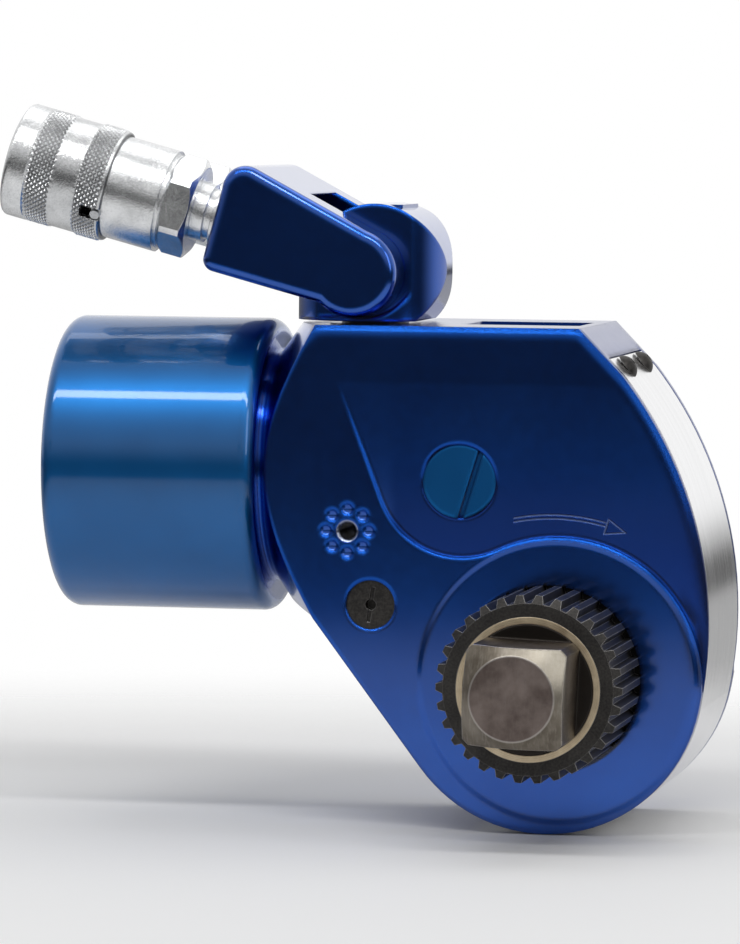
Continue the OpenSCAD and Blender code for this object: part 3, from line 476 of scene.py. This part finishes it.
def polished_stainless():
    """Bright sheet, drawn along its length, with fine long scratches."""
    steel = Finish("polished_stainless")
    drawn = steel.noise(0.9, stretch=(0.08, 3.0, 0.08))
    streak = steel.noise(0.5, detail=4.0, stretch=(0.03, 1.0, 0.03), roughness=0.7).step(0.3, 0.7)
    return steel.finish({
        "Base Color": steel.mix(streak, *STAINLESS), "Metallic": 1.0,
        "Roughness": 0.07 + 0.08 * drawn + 0.07 * streak,
        "Normal": steel.bump(drawn, 0.004, steel.soft_edge(0.3))})


def zinc_plate(name, knurled=False):
    """Plated steel: sparkling fine grain with duller patches and spots, and painted shade between the knurls."""
    zinc = Finish(name)
    grain = zinc.noise(2.0, detail=4.0, roughness=0.7)
    patch = zinc.noise(0.20, detail=4.0)
    spots = 1.0 - zinc.cells(1.8).step(0.08, 0.30)
    colour = zinc.mix((0.5 * grain + 0.5 * patch).step(0.3, 0.7), *PLATED)
    colour = zinc.mix(spots * 0.5, colour, PLATING_SPOT)
    if knurled:
        # The bottoms of the knurl grooves are painted dark as shade
        colour = zinc.mix(groove_mask(zinc) * 0.85, colour, GROOVE_SHADE)
    return zinc.finish({
        "Base Color": colour, "Metallic": 1.0, "Roughness": 0.14 + 0.18 * grain,
        "Normal": zinc.bump(grain, 0.07, zinc.soft_edge(0.3))})


def groove_mask(zinc):
    """1 at the bottom of the sleeve's grooves, 0 on their crests, from the distance to its axis."""
    crest_r = SLEEVE_R + 0.15
    across = (zinc.x - PIVOT[0]) * math.sin(ARM_TILT) + (zinc.z - PIVOT[2]) * math.cos(ARM_TILT)
    away = ((across - COUPLER_V) ** 2.0 + (zinc.y - PIVOT[1] - COUPLER_Y) ** 2.0).root()
    return 1.0 - away.step(SLEEVE_R - KNURL_SINK, crest_r)


def black_oxide(name, worn, rough=0.34):
    """Blackened steel whose edges are rubbed bright by the given amount."""
    black = Finish(name)
    grain = black.noise(1.6, detail=4.0)
    patch = black.noise(0.12)
    wear = (black.edge_wear(0.5) * (0.35 + 1.3 * patch) * worn).clamp()
    colour = black.mix((0.6 * grain + 0.4 * patch).step(0.3, 0.7), *OXIDE)
    return black.finish({
        "Base Color": black.mix(wear, colour, RUBBED_OXIDE), "Metallic": 0.75,
        "Roughness": rough + 0.2 * grain,
        "Normal": black.bump(grain, 0.02, black.soft_edge(0.35))})


def worn_tool_steel():
    """Brownish tool steel of the drive and crank.

    The square has a dull end disc, a paler cone round it with a painted highlight on one side, scuffed edges and
    scratches. What lies behind the square is painted near black as shade.
    """
    steel = Finish("worn_tool_steel")
    smoke = steel.noise(0.09, detail=5.0).step(0.3, 0.7)
    grain = steel.noise(1.1, detail=5.0)
    scratch = steel.noise(0.7, stretch=(3.0, 0.15, 0.6))
    blotch = steel.noise(0.14, detail=6.0).step(0.2, 0.8)
    radius = steel.from_axis(DRIVE_CENTRE)
    out = 1.0 - steel.y.step(-1.0, -0.2)
    at_end = 1.0 - steel.y.step(DRIVE_END_Y + 0.1, DRIVE_END_Y + 0.4)
    end = (1.0 - radius.step(DRIVE_END_R - 0.15, DRIVE_END_R + 0.05)) * at_end
    cone = (1.0 - end) * (1.0 - steel.y.step(DRIVE_CONE_Y - 0.4, DRIVE_CONE_Y + 0.2))
    near_end = 1.0 - steel.y.step(DRIVE_END_Y + 0.4, DRIVE_END_Y + 1.0)
    rim = (1.0 - abs(radius - DRIVE_END_R).step(0.1, 0.35)) * near_end
    # Painted highlight: the cone turns paler towards the upper right, where x plus z is large
    shine = ((steel.x + steel.z).step(6.0, 22.0) * (0.4 + 0.9 * grain)).clamp()
    wear = (steel.edge_wear(1.0) * (0.3 + 1.2 * grain)).clamp() * out
    pale = steel.mix(shine * 0.7, steel.mix(smoke, *CONE_STEEL), CONE_PAINTED_HIGHLIGHT)
    colour = steel.mix(cone, steel.mix(smoke, *TOOL_STEEL), pale)
    colour = steel.mix(end, colour, steel.mix(blotch, *END_STEEL))
    colour = steel.mix((scratch - 0.5).clamp() * out * (0.8 - 0.6 * end), colour, SCRATCH_STEEL)
    colour = steel.mix((wear * 0.7).most(rim * 0.35), colour, SCUFFED_STEEL)
    return steel.finish({
        # Everything behind the housing's near face is painted near black as shade
        "Base Color": steel.mix(1.0 - out, colour, INNER_SHADE_STEEL), "Metallic": 1.0,
        "Roughness": 0.26 + 0.22 * grain,
        "Normal": steel.bump(0.6 * grain + 0.4 * scratch, 0.03, steel.soft_edge(0.8))})


def ground_steel():
    """Plain ground steel of the inner parts."""
    steel = Finish("ground_steel")
    drawn = steel.noise(1.4, stretch=(0.3, 2.0, 1.0))
    return steel.finish({
        "Base Color": steel.mix(drawn, *GROUND_STEEL), "Metallic": 1.0, "Roughness": 0.22 + 0.18 * drawn,
        "Normal": steel.bump(drawn, 0.006, steel.soft_edge(0.3))})


def bronze():
    """Machined bronze with turning marks and a dull film."""
    metal = Finish("bronze")
    sockets = {"W": metal.from_axis(DRIVE_CENTRE), "Scale": 6.0}
    turned = metal.value(metal.node("ShaderNodeTexNoise", {"noise_dimensions": "1D"}, sockets), "Fac")
    film = metal.noise(0.2, detail=4.0)
    tone = (0.5 * turned + 0.5 * film).step(0.25, 0.75)
    return metal.finish({
        "Base Color": metal.mix(tone, *BRONZE), "Metallic": 1.0, "Roughness": 0.28 + 0.2 * film,
        "Normal": metal.bump(turned, 0.01, metal.soft_edge(0.25))})


def spring_steel():
    """Bright drawn wire, hard balls and small pins."""
    wire = Finish("spring_steel")
    film = wire.noise(0.8)
    return wire.finish({
        "Base Color": wire.mix(film, *WIRE), "Metallic": 1.0, "Roughness": 0.2 + 0.15 * film})


def seal_rubber():
    """Moulded black rubber."""
    rubber = Finish("seal_rubber")
    dust = rubber.noise(0.8, detail=4.0)
    return rubber.finish({"Base Color": rubber.mix(dust, *RUBBER), "Roughness": 0.5 + 0.2 * dust})


dress(blue_gloss("blue_gloss"), "swivel_turret", "swivel_block")
dress(blue_gloss("blue_gloss_marked", marked=True), "housing")
dress(blue_gloss("blue_gloss_turned", turned=1.0), "cylinder_cap", "access_plug")
dress(polished_stainless(), "shroud")
dress(zinc_plate("zinc_plate"), "female_body", "female_sleeve", "male_body", "female_poppet", "male_poppet")
dress(black_oxide("black_oxide_spline", worn=1.0, rough=0.44), "spline_ring")
dress(black_oxide("black_oxide_fastener", worn=0.25), "pawl_pivot_pin", "shroud_screws", "retainer_button")
dress(worn_tool_steel(), "square_drive", "ratchet", "drive_plates", "pawl_bridge")
dress(ground_steel(), "piston", "piston_rod", "rod_pin", "drive_pawl", "reaction_pawl", "swivel_pin",
      "drive_retainer")
dress(bronze(), "rod_gland", "front_bush", "hub_bushes")
dress(spring_steel(), "drive_pawl_springs", "reaction_pawl_spring", "retainer_spring", "sleeve_spring",
      "female_poppet_spring", "male_poppet_spring", "turret_clip", "lock_balls", "sleeve_lock_pin")
dress(seal_rubber(), "piston_seal", "turret_seals")


# Knurled sleeve

def put(name, data):
    """New object of the scene."""
    made = bpy.data.objects.new(name, data)
    bpy.context.scene.collection.objects.link(made)
    return made


def on_arm(u, v, y):
    """Points of the tilted arm: u along it from the pivot, v square to it, y across the tool."""
    x = -u * math.cos(ARM_TILT) + v * math.sin(ARM_TILT)
    z = u * math.sin(ARM_TILT) + v * math.cos(ARM_TILT)
    return np.stack([PIVOT[0] + x, PIVOT[1] + y, PIVOT[2] + z], axis=-1)


def wave(t):
    """Triangle wave of period 1, from 0 to 1 and back."""
    return 1.0 - np.abs(2.0 * (t - np.floor(t)) - 1.0)


def sleeve_grid():
    """Angles round the sleeve's axis and stations along it, on a grid that is finer in the knurl."""
    angles = np.linspace(0.0, 2.0 * np.pi, AROUND, endpoint=False)
    bounds = (0.0, *REAR_KNURL, *FRONT_KNURL, SLEEVE_LEN)
    stretches = [np.linspace(low, high, n)[1:] for low, high, n in zip(bounds, bounds[1:], STATIONS)]
    return np.meshgrid(angles, np.concatenate([[0.0], *stretches]), indexing="ij")


def outer_radius(a, s):
    """A turned profile with rounded ends and a raised front ring, plus two diamond-knurled bands.

    The knurl's height is the smaller of two triangle waves that run along +45 and -45 degrees, with
    flat crests.
    """
    def inside(band):
        """1 inside a band of stations, falling to 0 at its two ends."""
        rise = np.clip((s - band[0]) / KNURL_RAMP, 0.0, 1.0)
        return rise * np.clip((band[1] - s) / KNURL_RAMP, 0.0, 1.0)

    def rounded(depth, radius):
        """Drop of a rounded edge, from the distance to the end of the tube."""
        t = np.clip(1.0 - depth / radius, 0.0, 1.0)
        return radius * (1.0 - np.sqrt(1.0 - t ** 2))

    ring = np.clip((s - FRONT_KNURL[1]) / RING_RAMP, 0.0, 1.0)
    profile = SLEEVE_R + KNURL_RISE * ring - rounded(SLEEVE_LEN - s, FRONT_ROUND) - rounded(s, REAR_ROUND)
    turn = a * RIDGES / (2.0 * np.pi)
    climb = s * RIDGES / (2.0 * np.pi * SLEEVE_R)
    diamond = np.minimum(wave(turn + climb), wave(turn - climb))
    height = np.minimum(diamond, KNURL_CREST) / KNURL_CREST
    knurl = np.maximum(inside(REAR_KNURL), inside(FRONT_KNURL))
    return profile + knurl * (-KNURL_SINK + (KNURL_SINK + KNURL_RISE) * height)


def inner_radius(s, outer):
    """A bore in three steps: over the coupler's body, over its nose, and a relief at the front."""
    bore = np.where(s < LAND[0], BODY_R, np.where(s < LAND[1], NOSE_R, RELIEF_R))
    return np.minimum(bore, outer - LEAST_WALL)


def notch_cells(a, s):
    """True for the cells of the grid that lie in the lock pin's notch, at the sleeve's rear end."""
    notch = math.atan2(-math.cos(NOTCH_ANGLE), -math.sin(NOTCH_ANGLE))
    turn = (a[:, :-1] + np.pi / AROUND - notch + np.pi) % (2.0 * np.pi) - np.pi
    return (np.abs(turn) * BODY_R < NOTCH_HALF) & (s[:, 1:] < NOTCH_LEN)


def tube_faces(cut):
    """Quads of a tube with an outer and an inner wall. Cut cells are left out and the gap is walled in.

    The grid's first axis runs round the tube and its second one along it. The inner wall's points
    come after all of the outer wall's.
    """
    around, along = cut.shape[0], cut.shape[1] + 1
    inner = around * along
    point = np.arange(inner).reshape(around, along)
    beside = np.roll(point, -1, axis=0)
    p, q = point[:, :-1], point[:, 1:]
    r, t = beside[:, :-1], beside[:, 1:]
    keep = ~cut
    before = np.roll(cut, 1, axis=0)
    ring = np.stack([point, beside, beside + inner, point + inner], -1)
    side = np.stack([p, q, q + inner, p + inner], -1)
    outer_wall = np.stack([p, q, t, r], -1)[keep]
    inner_wall = np.stack([p, r, t, q], -1)[keep] + inner
    rear_end = ring[:, 0][keep[:, 0]]
    front_end = ring[:, -1][:, [0, 3, 2, 1]]
    notch_sides = [side[cut & ~before][:, ::-1], side[keep & before]]
    notch_floor = ring[:, 1:-1][cut[:, :-1] & keep[:, 1:]]
    return np.concatenate([outer_wall, inner_wall, rear_end, front_end, *notch_sides, notch_floor])


def knurled_sleeve(name):
    """Sleeve of the near coupler: its two radii, turned round the coupler's axis, with a notch cut out."""
    a, s = sleeve_grid()
    outer = outer_radius(a, s)
    walls = [on_arm(SLEEVE_U + s, COUPLER_V + r * np.cos(a), COUPLER_Y + r * np.sin(a))
             for r in (outer, inner_radius(s, outer))]
    points = np.stack(walls).reshape(-1, 3) * MM
    mesh = bpy.data.meshes.new(name)
    mesh.from_pydata(points.tolist(), [], tube_faces(notch_cells(a, s)).tolist())
    mesh.validate()
    weld(mesh)
    return put(name, mesh)


def weld(mesh):
    """Merges doubles, turns the faces outwards and shades all but sharp edges smoothly."""
    shell = bmesh.new()
    shell.from_mesh(mesh)
    bmesh.ops.remove_doubles(shell, verts=shell.verts, dist=1e-7)
    bmesh.ops.recalc_face_normals(shell, faces=shell.faces)
    shell.to_mesh(mesh)
    shell.free()
    mesh.shade_smooth()
    mesh.set_sharp_from_angle(angle=math.radians(40.0))


sleeve = knurled_sleeve("sleeve_knurl")
sleeve.data.materials.append(zinc_plate("zinc_knurled", knurled=True))
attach(sleeve, "sleeve")
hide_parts("female_sleeve")


# Studio

def studio():
    """Air of the studio: white for the camera; in mirrors white behind and above, dim in front.

    A dark line just below the horizon behind the tool gives the bright sheet its contrast. The
    direction in which the air is seen is x, y and z.
    """
    world = bpy.data.worlds.new("studio")
    bpy.context.scene.world = world
    world.use_nodes = True
    air = Nodes(world.node_tree)
    x, y, z = air.axes(air.node("ShaderNodeTexCoord").outputs["Generated"])
    line_z = -0.04
    line = (1.0 - abs(z - line_z).step(0.010, 0.025)) * (1.0 - x.step(0.3, 0.5))
    lit = z.step(-0.02, 0.02).most(x.step(0.35, 0.6))
    wall = 0.42 + 0.58 * lit - 0.30 * line
    front = 0.06 + 0.60 * z.step(0.0, 0.3)
    room = front + (wall - front) * y.step(-0.2, 0.5)
    path = air.node("ShaderNodeLightPath")
    white = air.node("ShaderNodeBackground", sockets={"Color": WHITE})
    mirrored = air.node("ShaderNodeBackground", sockets={"Color": room})
    fill = air.node("ShaderNodeBackground", sockets={"Color": WHITE, "Strength": 0.38})
    shiny = (air.value(path, "Is Glossy Ray") + air.value(path, "Is Transmission Ray")).clamp()
    around = air.blend(path.outputs["Is Camera Ray"], air.blend(shiny, fill, mirrored), white)
    air.node("ShaderNodeOutputWorld", sockets={"Surface": around.outputs[0]})


def softbox(name, place, aim, width, height, power):
    """Rectangular lamp at a place, turned to a point."""
    lamp = bpy.data.lights.new(name, "AREA")
    lamp.shape = "RECTANGLE"
    lamp.size = width * MM
    lamp.size_y = height * MM
    lamp.energy = power
    where = Vector(place) * MM
    turn = (Vector(aim) * MM - where).to_track_quat("-Z", "Y").to_matrix().to_4x4()
    put(name, lamp).matrix_world = Matrix.Translation(where) @ turn


def floor_sheet():
    """Round pale sheet under the tool, one flat disc that fades out into the white around it."""
    turn = np.linspace(0.0, 2.0 * np.pi, FLOOR_SIDES, endpoint=False)
    x = FLOOR_MIDDLE[0] + FLOOR_R * np.cos(turn)
    y = FLOOR_MIDDLE[1] + FLOOR_R * np.sin(turn)
    rim = np.stack([x, y, np.full(FLOOR_SIDES, FLOOR_Z)], -1) * MM
    mesh = bpy.data.meshes.new("floor")
    mesh.from_pydata(rim.tolist(), [], [tuple(range(FLOOR_SIDES))])
    pale = Finish("pale_floor")
    away = ((pale.x - FLOOR_MIDDLE[0]) ** 2.0 + (pale.y - FLOOR_MIDDLE[1]) ** 2.0).root()
    cloud = pale.noise(0.004, detail=2.0)
    mesh.materials.append(pale.finish({
        "Base Color": pale.mix(cloud, *PALE_FLOOR), "Roughness": 0.7,
        "Alpha": 1.0 - away.step(FLOOR_SOLID_R, FLOOR_R)}))
    put("floor", mesh)


def photo_camera():
    """Camera of the photograph: turned by its yaw, then its pitch, then its roll."""
    level = math.cos(CAMERA_PITCH)
    ahead = Vector((-math.sin(CAMERA_YAW) * level, math.cos(CAMERA_YAW) * level, -math.sin(CAMERA_PITCH)))
    right = Vector((math.cos(CAMERA_YAW), math.sin(CAMERA_YAW), 0.0))
    up = right.cross(ahead)
    side = math.cos(CAMERA_ROLL) * right + math.sin(CAMERA_ROLL) * up
    top = -math.sin(CAMERA_ROLL) * right + math.cos(CAMERA_ROLL) * up
    lens = bpy.data.cameras.new("photo_camera")
    lens.sensor_fit = "VERTICAL"
    lens.sensor_height = SENSOR_HEIGHT
    lens.lens = FOCAL_PIXELS * SENSOR_HEIGHT / IMAGE_HEIGHT
    lens.clip_start = 0.05
    lens.clip_end = 20.0
    made = put("photo_camera", lens)
    turn = Matrix((side, top, -ahead)).transposed().to_4x4()
    made.matrix_world = Matrix.Translation(Vector(CAMERA_PLACE) * MM) @ turn
    bpy.context.scene.camera = made


studio()
floor_sheet()
photo_camera()
for lamp_name, lamp_sizes in SOFTBOXES.items():
    softbox(lamp_name, **lamp_sizes)
bpy.context.scene.view_settings.view_transform = "Standard"
